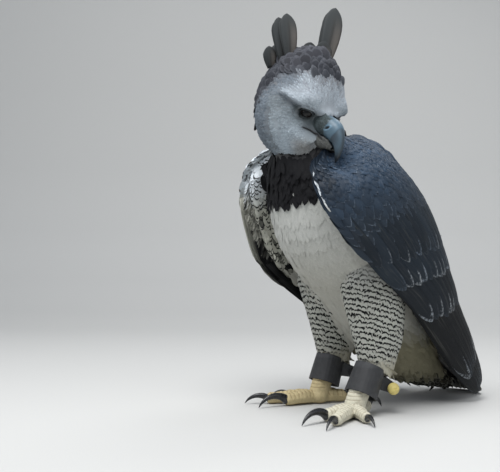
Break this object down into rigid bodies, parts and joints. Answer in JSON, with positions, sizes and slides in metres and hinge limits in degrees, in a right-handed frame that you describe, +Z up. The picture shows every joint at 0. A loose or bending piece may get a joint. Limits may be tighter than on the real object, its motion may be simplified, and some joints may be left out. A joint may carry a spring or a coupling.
{
  "type": "harpy eagle",
  "caption": "Life-size standing harpy eagle with folded wings, raised double crest, head turned over its left shoulder and leather anklets on its feathered legs.",
  "frame": {"origin": "on the floor under the middle of the bounding box", "axes": "+Z up, the breast faces -Y and the bird's left side is +X; the head is turned to look towards +X"},
  "size_m": [0.3702, 0.5594, 0.7585],
  "materials": {
    "head_feather": "soft matte feather, pale blue-grey",
    "crest_feather": "matte feather, dark slate grey",
    "neck_feather": "matte feather, black",
    "breast_feather": "soft matte feather, cream white",
    "thigh_feather": "soft matte feather, white barred with black",
    "wing_feather": "matte feather, slate black with pale fringes",
    "tail_feather": "matte feather, slate black with grey bars",
    "bill_horn": "horn, slate, smooth",
    "claw_horn": "horn, black, smooth",
    "foot_scale": "scaly skin, pale yellow",
    "eye": "wet, glossy, dark",
    "leather": "charcoal leather, worn",
    "button": "yellow leather, knotted",
    "blackened_steel": "blackened steel"
  },
  "bodies": {
    "root": {"anklet_left": "leather", "anklet_right": "leather", "bill_lower": "bill_horn", "bill_upper": "bill_horn", "button_left": "button", "claw_left_hind": "claw_horn", "claw_left_inner": "claw_horn", "claw_left_middle": "claw_horn", "claw_left_outer": "claw_horn", "claw_right_hind": "claw_horn", "claw_right_inner": "claw_horn", "claw_right_middle": "claw_horn", "claw_right_outer": "claw_horn", "crest_left": "crest_feather", "crest_right": "crest_feather", "eye_left": "eye", "eye_right": "eye", "eyelet_right": "blackened_steel", "foot_left": "foot_scale", "foot_right": "foot_scale", "head": "head_feather", "neck": "neck_feather", "rump": "breast_feather", "tail": "tail_feather", "tarsus_left": "foot_scale", "tarsus_right": "foot_scale", "thigh_left": "thigh_feather", "thigh_right": "thigh_feather", "torso": "breast_feather", "wing_left": "wing_feather", "wing_right": "wing_feather"}
  },
  "joints": []
}
